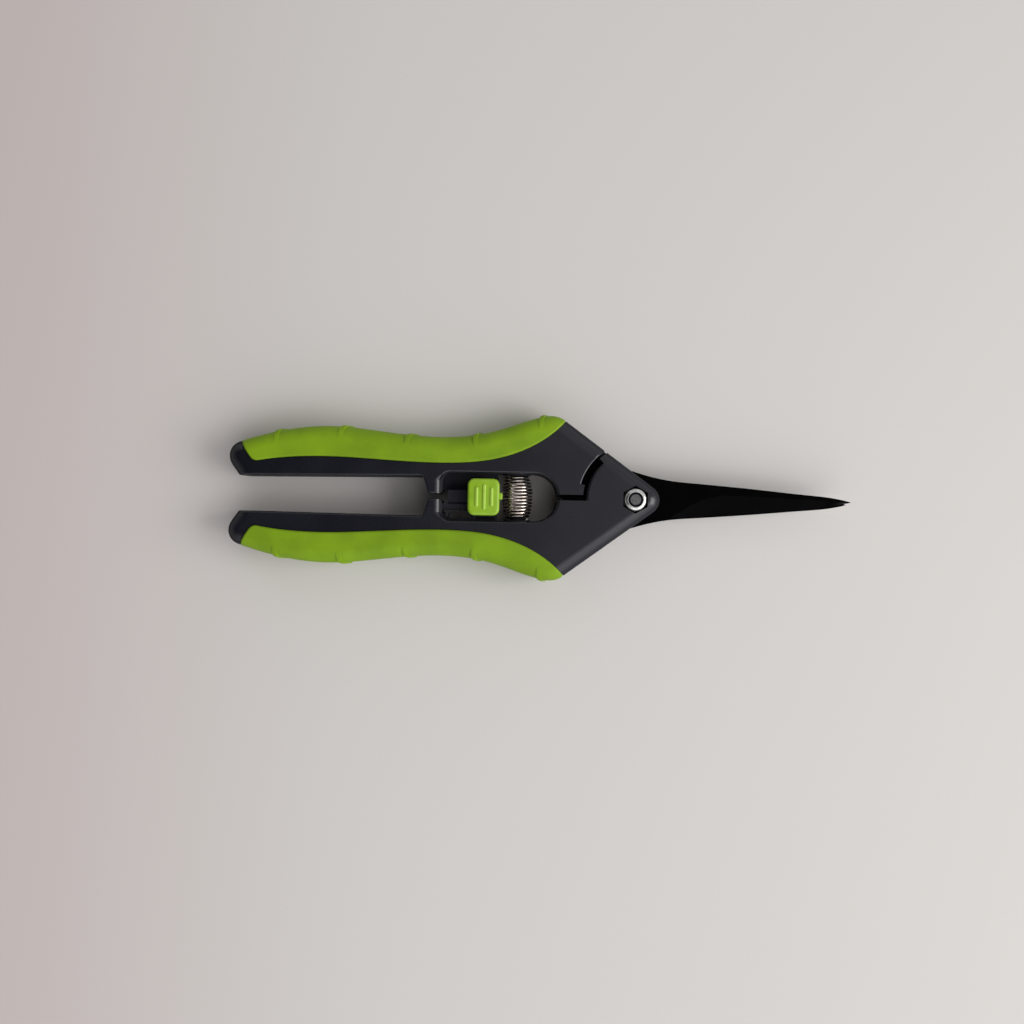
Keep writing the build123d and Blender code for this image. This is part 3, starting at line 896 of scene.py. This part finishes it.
@dataclass
class Handles:
    """The two mouldings with their grips and blades, which keep the solids' shapes."""

    nodes: Mapping[str, bpy.types.Object]
    plastic: MouldedPlastic = field(default_factory=MouldedPlastic)
    slide: MouldedPlastic = MouldedPlastic(name="black_slide_plastic", specular=0.2)
    rubber: SoftGrip = field(default_factory=SoftGrip)
    coat: BladeCoat = field(default_factory=BladeCoat)

    def dress(self) -> list[bpy.types.Object]:
        """Gives the mouldings, the grips and the blades their finishes.

        Returns:
            The dressed nodes.
        """
        low, high = (corner.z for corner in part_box("lower_handle_core"))
        plastic, slide = (finish.material(low, high) for finish in (self.plastic, self.slide))
        rubber, coat = self.rubber.material(), self.coat.material()
        wear = {
            "upper_handle_core": plastic,
            "lower_handle_core": plastic,
            "lock_slide": slide,
            "upper_grip": rubber,
            "lower_grip": rubber,
            "upper_handle_blade": coat,
            "lower_handle_blade": coat,
        }
        for name, material in wear.items():
            give(self.nodes[name], material)
        return [self.nodes[name] for name in wear]


@dataclass
class Pivot:
    """The bolt, the locking nut and the nut's nylon ring."""

    nodes: Mapping[str, bpy.types.Object]
    centre: Vector
    body: str = "lower_handle"
    across_flats_mm: float = 7.0
    chamfer_radius_mm: float = 3.36
    chamfer_reach_mm: float = 1.0
    chamfer_degrees: float = 30.0
    collar_radius_mm: float = 3.42
    collar_height_mm: float = 1.9
    collar_round_mm: float = 1.0
    collar_segments: int = 6
    collar_sunk_mm: float = 0.3
    lip_least_mm: float = 0.02
    mouth_radius_mm: float = 2.24
    mouth_depth_mm: float = 1.15
    bore_radius_mm: float = 2.04
    bore_past_mm: float = 1.0
    ring_radius_mm: float = 2.22
    ring_height_mm: float = 0.7
    ring_drop_mm: float = 0.55
    nut_edge_mm: float = 0.07
    nut_edge_segments: int = 2
    ring_edge_mm: float = 0.12
    ring_edge_segments: int = 3
    edge_angle: float = 0.6
    segments: int = 72
    steel: BrightSteel = field(default_factory=BrightSteel)
    thread: ThreadedSteel = field(default_factory=ThreadedSteel)
    nylon: NylonInsert = field(default_factory=NylonInsert)

    def _disc(self, name: str, radius_mm: float, low: float, high: float, sides: int) -> bpy.types.Object:
        """Adds an upright cylinder on the pivot's axis.

        Args:
            name: The piece's name.
            radius_mm: Its radius.
            low: Its lower end, in metres.
            high: Its upper end, in metres.
            sides: How many sides it has.

        Returns:
            The cylinder.
        """
        return Bench.add(
            bpy.ops.mesh.primitive_cylinder_add,
            name,
            vertices=sides,
            radius=radius_mm * MM,
            depth=high - low,
            location=(self.centre.x, self.centre.y, (low + high) / 2),
        )

    def nut(self) -> bpy.types.Object:
        """Models the hexagon with its turned chamfer, the rolled collar and the open mouth.

        Returns:
            The nut.
        """
        low, high = (corner.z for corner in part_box("pivot_nut"))
        hex_top = high - self.collar_height_mm * MM
        corner_mm = self.across_flats_mm / 2 / math.cos(math.pi / HEXAGON)
        nut = self._disc("locking_nut", corner_mm, low, hex_top, HEXAGON)

        ends = self.chamfer_reach_mm * MM
        slope = math.tan(math.radians(self.chamfer_degrees))
        wide_mm = self.chamfer_radius_mm + self.chamfer_reach_mm / slope
        lathe = self._disc("nut_chamfer", wide_mm, low + ends, hex_top - ends, self.segments)
        shrink = self.chamfer_radius_mm / wide_mm
        for up in (1, -1):
            Bench.edit(
                lathe,
                Part.FACES,
                lambda face, up=up: face.normal.z * up > STRAIGHT,
                lambda up=up: bpy.ops.mesh.extrude_region_move(
                    TRANSFORM_OT_translate={"value": (0, 0, up * ends)}
                ),
                lambda: bpy.ops.transform.resize(
                    value=(shrink, shrink, 1), center_override=(self.centre.x, self.centre.y, 0)
                ),
            )
        Bench.cut(nut, lathe, "INTERSECT")

        sunk = self.collar_sunk_mm * MM
        collar = self._disc("nut_collar", self.collar_radius_mm, hex_top - sunk, high, self.segments)
        top = is_level(high)
        Bench.edit(
            collar,
            Part.FACES,
            top,
            lambda: bpy.ops.mesh.bevel(
                offset=self.collar_round_mm * MM, segments=self.collar_segments, affect="EDGES"
            ),
        )
        lip_mm = self.collar_radius_mm - self.collar_round_mm - self.mouth_radius_mm
        Bench.edit(
            collar,
            Part.FACES,
            top,
            lambda: bpy.ops.mesh.inset(thickness=max(lip_mm, self.lip_least_mm) * MM, depth=0),
            lambda: bpy.ops.mesh.extrude_region_move(
                TRANSFORM_OT_translate={"value": (0, 0, -self.mouth_depth_mm * MM)}
            ),
        )
        Bench.cut(nut, collar, "UNION")
        Bench.cut(
            nut,
            self._disc("nut_bore", self.bore_radius_mm, low - sunk, high, self.segments),
            "DIFFERENCE",
        )
        Bench.round(nut, self.nut_edge_mm * MM, self.nut_edge_segments, self.edge_angle)
        Bench.smooth(nut)
        return nut

    def ring(self) -> bpy.types.Object:
        """Models the nylon ring that shows in the collar's mouth.

        Returns:
            The ring.
        """
        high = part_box("pivot_nut")[1].z - self.ring_drop_mm * MM
        low = high - self.ring_height_mm * MM
        past = self.bore_past_mm * MM
        ring = self._disc("nylon_ring", self.ring_radius_mm, low, high, self.segments)
        Bench.cut(
            ring,
            self._disc("ring_bore", self.bore_radius_mm, low - past, high + past, self.segments),
            "DIFFERENCE",
        )
        Bench.round(ring, self.ring_edge_mm * MM, self.ring_edge_segments, self.edge_angle)
        Bench.smooth(ring)
        return ring

    def build(self) -> list[bpy.types.Object]:
        """Models the nut and its ring, and finishes the bolt.

        Returns:
            The pieces.
        """
        steel = self.steel.material(self.centre)
        nut, ring = self.nut(), self.ring()
        give(nut, steel)
        give(ring, self.nylon.material())
        give(self.nodes["pivot_bolt"], self.thread.material(self.centre))
        for piece, node, slot in (
            (nut, "pivot_nut", "fastener_steel"),
            (ring, "nut_nylon_ring", "nylon"),
        ):
            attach(piece, self.body)
            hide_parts(node)
        return [nut, ring, self.nodes["pivot_bolt"]]


@dataclass
class ReturnSpring:
    """The barrel-shaped coil between the handles."""

    fixed_body: str = "lower_handle"
    moving_body: str = "upper_handle"
    wire_mm: float = 0.65
    middle_diameter_mm: float = 9.8
    end_diameter_mm: float = 6.7
    fullness: float = 0.8
    turns: int = 13
    steps_per_turn: int = 40
    wire_sides: int = 12
    wire: SpringWire = field(default_factory=SpringWire)

    def _barrel(self, piece: bpy.types.Object, half_length: float, start_radius: float) -> None:
        """Swells a straight coil about the Y axis into a barrel, with its wire still round.

        Args:
            piece: The straight coil, centred on the origin.
            half_length: Half the coil's length.
            start_radius: The straight coil's mean radius.
        """
        middle = (self.middle_diameter_mm - self.wire_mm) / 2 * MM
        end = (self.end_diameter_mm - self.wire_mm) / 2 * MM
        for vertex in piece.data.vertices:
            along = max(-1.0, min(1.0, vertex.co.y / half_length))
            swell = end + (middle - end) * (1 - along * along) ** self.fullness - start_radius
            out = Vector((vertex.co.x, 0, vertex.co.z)).normalized()
            vertex.co += out * swell

    def _coil(self, length: float, radius: float) -> bpy.types.Object:
        """Models a straight coil about the Y axis, centred on the origin and open at its ends.

        Args:
            length: The coil's length, from the middle of its wire.
            radius: Its mean radius.

        Returns:
            The coil, alone in the selection.
        """
        spring = Bench.add(
            bpy.ops.mesh.primitive_circle_add,
            "barrel_spring",
            vertices=self.wire_sides,
            radius=self.wire_mm * MM / 2,
            fill_type="NOTHING",
            location=(radius, 0, 0),
        )
        Bench.modify(
            spring,
            "SCREW",
            axis="Y",
            angle=math.tau,
            screw_offset=length / self.turns,
            iterations=self.turns,
            steps=self.steps_per_turn,
            render_steps=self.steps_per_turn,
        )
        vertices = spring.data.vertices
        spring.location.y = -sum(vertex.co.y for vertex in vertices) / len(vertices)
        Bench.only(spring)
        Bench.settle()
        return spring

    def build(self) -> list[bpy.types.Object]:
        """Models the coil between the handles.

        Returns:
            The spring, in a list.
        """
        low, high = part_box("return_spring")
        centre = (low + high) / 2
        wire = self.wire_mm * MM
        length = high.y - low.y - wire
        radius = (high.x - low.x - wire) / 2
        spring = self._coil(length, radius)
        self._barrel(spring, length / 2, radius)
        spring.location = centre
        Bench.settle()
        Bench.edit(
            spring,
            Part.EDGES,
            lambda edge: edge.is_boundary,
            lambda: bpy.ops.mesh.edge_face_add(),
        )
        Bench.edit(
            spring,
            Part.FACES,
            lambda face: True,
            lambda: bpy.ops.mesh.normals_make_consistent(inside=False),
        )
        Bench.smooth(spring)
        give(spring, self.wire.material())
        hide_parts("return_spring")
        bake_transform(spring)
        return [spring]


@dataclass
class LockButton:
    """The ribbed thumb button of the lock."""

    body: str = "lock_slider"
    length_mm: float = 9.55
    corner_mm: float = 2.0
    edge_mm: float = 0.8
    rib_width_mm: float = 1.0
    rib_height_mm: float = 0.35
    rib_corner_share: float = 0.48
    rib_rim_share: float = 0.4
    ribs_mm: Sequence[Span] = ((-2.05, 6.0), (0.2, 7.7), (2.45, 5.7))
    nub_mm: tuple[float, float, float] = (1.5, 2.0, 1.2)
    nub_aside_share: float = 0.15
    nub_lift_mm: float = 0.1
    nub_corner_mm: float = 0.35
    nub_rim_mm: float = 0.3
    corner_segments: int = 8
    rim_segments: int = 6
    rim_angle: float = 1.0
    smooth_degrees: float = 40.0
    plastic: ButtonPlastic = field(default_factory=ButtonPlastic)

    def _pad(self, name: str, size: Vector, centre: Vector, upright: float, rim: float) -> bpy.types.Object:
        """Models a block with round corners and a round upper rim.

        Args:
            name: The piece's name.
            size: Its length, width and height, in metres.
            centre: Its centre.
            upright: The radius of its upright corners, in metres.
            rim: The radius of its upper rim, in metres.

        Returns:
            The block.
        """
        pad = Bench.add(bpy.ops.mesh.primitive_cube_add, name, size=1, scale=size, location=centre)
        Bench.edit(
            pad,
            Part.EDGES,
            is_upright,
            lambda: bpy.ops.mesh.bevel(offset=upright, segments=self.corner_segments, affect="EDGES"),
        )
        Bench.round(pad, rim, self.rim_segments, self.rim_angle)
        return pad

    def build(self) -> list[bpy.types.Object]:
        """Models the button with its round rim, its ribs and its nub.

        Returns:
            The button, in a list.
        """
        low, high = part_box("lock_button")
        rib = self.rib_height_mm * MM
        top = high.z - rib
        size = Vector((self.length_mm * MM, high.y - low.y, top - low.z))
        centre = Vector((low.x + size.x / 2, (low.y + high.y) / 2, (low.z + top) / 2))
        button = self._pad("thumb_button", size, centre, self.corner_mm * MM, self.edge_mm * MM)
        extras = []
        rib_width = self.rib_width_mm * MM
        for along, width in self.ribs_mm:
            extras.append(
                self._pad(
                    "button_rib",
                    Vector((rib_width, width * MM, 2 * rib)),
                    Vector((centre.x + along * MM, centre.y, top)),
                    rib_width * self.rib_corner_share,
                    min(rib, rib_width * self.rib_rim_share),
                )
            )
        nub = mm(*self.nub_mm)
        nub_centre = (
            high.x - nub.x / 2,
            centre.y + nub.y * self.nub_aside_share,
            low.z + nub.z / 2 + self.nub_lift_mm * MM,
        )
        extras.append(
            self._pad(
                "button_nub", nub, Vector(nub_centre), self.nub_corner_mm * MM, self.nub_rim_mm * MM
            )
        )
        Bench.gather(button, extras)
        Bench.smooth(button, self.smooth_degrees)
        give(button, self.plastic.material(top))
        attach(button, self.body)
        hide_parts("lock_button")
        return [button]


# ---------------------------------------------------------------------------
# The studio
# ---------------------------------------------------------------------------


@dataclass(frozen=True)
class SoftBox:
    """One square studio light."""

    name: str
    place: tuple[float, float, float]
    side: float
    watts: float
    colour: tuple[float, float, float] = (1.0, 1.0, 1.0)

    def build(self, target: Vector) -> bpy.types.Object:
        """Sets the light up so that it faces a point.

        Args:
            target: The point.

        Returns:
            The light.
        """
        lamp = bpy.data.lights.new(self.name, "AREA")
        lamp.shape = "SQUARE"
        lamp.size = self.side
        lamp.energy = self.watts
        lamp.color = self.colour
        light = bpy.data.objects.new(self.name, lamp)
        light.location = self.place
        light.rotation_euler = (target - Vector(self.place)).to_track_quat("-Z", "Y").to_euler()
        bpy.context.scene.collection.objects.link(light)
        return light


@dataclass
class Studio:
    """The camera straight above, the pale table and the soft lights.

    The room is pale all round, dimmer at the wall behind the handles' tails and dark overhead.
    """

    camera_from_pivot_mm: tuple[float, float] = (-37.0, -4.37)
    camera_height: float = 0.300
    camera_turn_degrees: float = 1.05
    lens_mm: float = 33.36
    sensor_mm: float = 36.0
    near_clip: float = 0.01
    table_side: float = 12.0
    walls: float = 0.70
    far_wall: float = 0.30
    far_wall_towards: tuple[float, float, float] = (-1.0, 0.0, 0.0)
    far_wall_from: Span = (0.35, 0.85)
    ceiling: float = 0.03
    ceiling_towards: tuple[float, float, float] = (-0.46, 0.05, 0.886)
    ceiling_from: Span = (0.845, 0.915)
    room_colour: Colour = paint(1.0, 0.985, 0.975)
    lights: Sequence[SoftBox] = (
        SoftBox("window_light", (0.80, -0.12, 0.60), 0.65, 7.2, (1.0, 0.99, 0.965)),
        SoftBox("front_light", (0.42, -0.72, 0.75), 1.2, 4.8, (0.98, 0.99, 1.0)),
    )
    paper: TablePaper = field(default_factory=TablePaper)

    def build(self, target: Vector) -> None:
        """Sets up the camera, the table, the lights and the colour transform.

        Args:
            target: What the lights face, and what the camera is placed from.
        """
        scene = bpy.context.scene
        lens = bpy.data.cameras.new("camera")
        lens.lens = self.lens_mm
        lens.sensor_width = self.sensor_mm
        lens.clip_start = self.near_clip
        camera = bpy.data.objects.new("camera", lens)
        across, along = (value * MM for value in self.camera_from_pivot_mm)
        camera.location = (target.x + across, target.y + along, self.camera_height)
        camera.rotation_euler = (0, 0, math.radians(self.camera_turn_degrees))
        scene.collection.objects.link(camera)
        scene.camera = camera

        table = Bench.add(bpy.ops.mesh.primitive_plane_add, "table", size=self.table_side)
        give(table, self.paper.material())

        for light in self.lights:
            light.build(target)

        room = ShaderGraph("room", world=True)
        overhead = room.facing(Vector(self.ceiling_towards)).ramp(*self.ceiling_from)
        far = room.facing(Vector(self.far_wall_towards)).ramp(*self.far_wall_from)
        around = self.walls + (self.far_wall - self.walls) * far
        scene.world = room.surround(self.room_colour, around + (self.ceiling - around) * overhead)
        scene.view_settings.view_transform = "Standard"
        scene.view_settings.look = "None"


def main() -> None:
    """Dresses the frame and sets the studio up round it."""
    logging.basicConfig(level=logging.INFO, format="%(name)s: %(message)s")
    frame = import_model()
    hinge = next(joint for joint in frame["joints"] if joint["name"] == "handle_hinge")
    pivot = Vector(hinge["pos_m"])
    nodes = frame["nodes"]

    for made in (
        Handles(nodes).dress(),
        Pivot(nodes, pivot).build(),
        ReturnSpring().build(),
        LockButton().build(),
    ):
        for piece in made:
            LOG.info("%s: %d faces", piece.name, len(piece.data.polygons))
    Studio().build(pivot)


if __name__ == "__main__":
    main()
